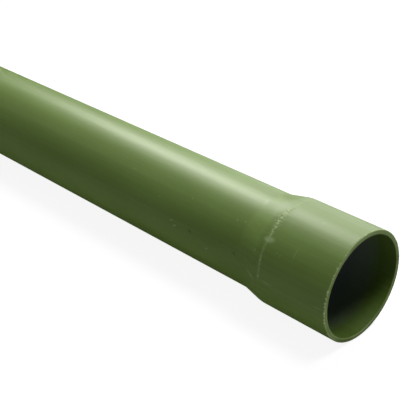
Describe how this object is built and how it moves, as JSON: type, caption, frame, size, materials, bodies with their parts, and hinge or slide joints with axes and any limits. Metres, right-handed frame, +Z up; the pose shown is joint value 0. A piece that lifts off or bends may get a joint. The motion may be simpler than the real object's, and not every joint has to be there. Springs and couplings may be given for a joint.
{
  "type": "rigid pvc electrical conduit length",
  "caption": "Straight rigid PVC electrical conduit length with an integral belled socket at one end and a plain sawn spigot at the other.",
  "frame": {"origin": "on the axis, at the seat where the next length's spigot stops in the socket", "axes": "+X along the axis and out of the socket's mouth, +Z up as the conduit lies on a floor"},
  "size_m": [3, 0.0664, 0.0666],
  "materials": {
    "green_pvc": "satin as extruded, olive green all through, with pale scuffs"
  },
  "bodies": {
    "root": {"conduit": "green_pvc"}
  },
  "joints": []
}
